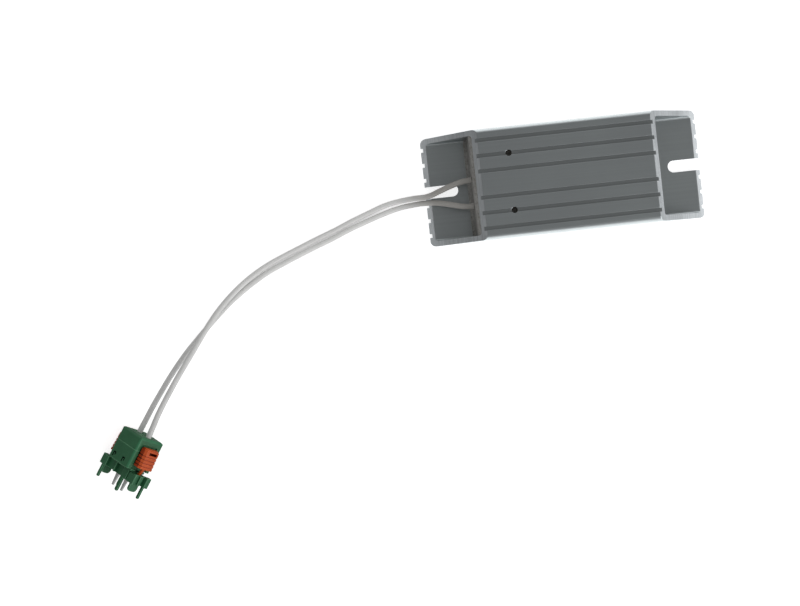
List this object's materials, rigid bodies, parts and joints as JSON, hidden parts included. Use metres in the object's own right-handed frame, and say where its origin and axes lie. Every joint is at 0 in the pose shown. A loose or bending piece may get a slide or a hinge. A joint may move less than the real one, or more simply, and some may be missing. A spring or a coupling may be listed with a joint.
{
  "type": "braking resistor",
  "caption": "Flat aluminium-cased braking resistor with mitred ends and open fixing slots, grey leads and a green plug with orange locking levers.",
  "frame": {"origin": "centre of the housing's back face, on the mounting surface", "axes": "+X along the housing away from the leads, +Z out of the front face"},
  "size_m": [0.3511, 0.1796, 0.03],
  "materials": {
    "aluminium": "extruded, matt, with bright sawn ends",
    "cement": "rough potting cement",
    "mica": "smooth sheet",
    "core_ceramic": "unglazed",
    "resistance_wire": "drawn, oxidised",
    "tinned_copper": "satin tin plating",
    "lead_silicone": "matt insulation",
    "green_plastic": "fine moulded texture",
    "spring_steel": "rolled strip",
    "orange_plastic": "fine moulded texture"
  },
  "bodies": {
    "resistor": {"housing": "aluminium", "end_seal_lead": "cement", "end_seal_blind": "cement", "filler": "cement", "mica_front": "mica", "mica_back": "mica", "core_upper": "core_ceramic", "core_lower": "core_ceramic", "winding": "resistance_wire", "crimp_upper": "tinned_copper", "crimp_lower": "tinned_copper", "lead_upper": "lead_silicone", "lead_lower": "lead_silicone", "plug_body": "green_plastic", "plug_cap": "green_plastic", "contact_upper": "tinned_copper", "contact_lower": "tinned_copper", "clamp_spring_upper": "spring_steel", "clamp_spring_lower": "spring_steel", "ferrule_upper": "tinned_copper", "ferrule_lower": "tinned_copper"},
    "latch_left": {"latch_left": "orange_plastic"},
    "latch_right": {"latch_right": "orange_plastic"}
  },
  "joints": [
    {"name": "latch_left_press", "type": "hinge", "parent": "resistor", "child": "latch_left", "pos_m": [-0.26345, -0.12952, 0.00692], "axis": [0.5134, -0.3398, -0.788], "range_deg": [0, 3.8], "stiffness_Nm_per_rad": 0.3},
    {"name": "latch_right_press", "type": "hinge", "parent": "resistor", "child": "latch_right", "pos_m": [-0.25084, -0.13787, 0.01874], "axis": [-0.5134, 0.3398, 0.788], "range_deg": [0, 3.8], "stiffness_Nm_per_rad": 0.3}
  ]
}
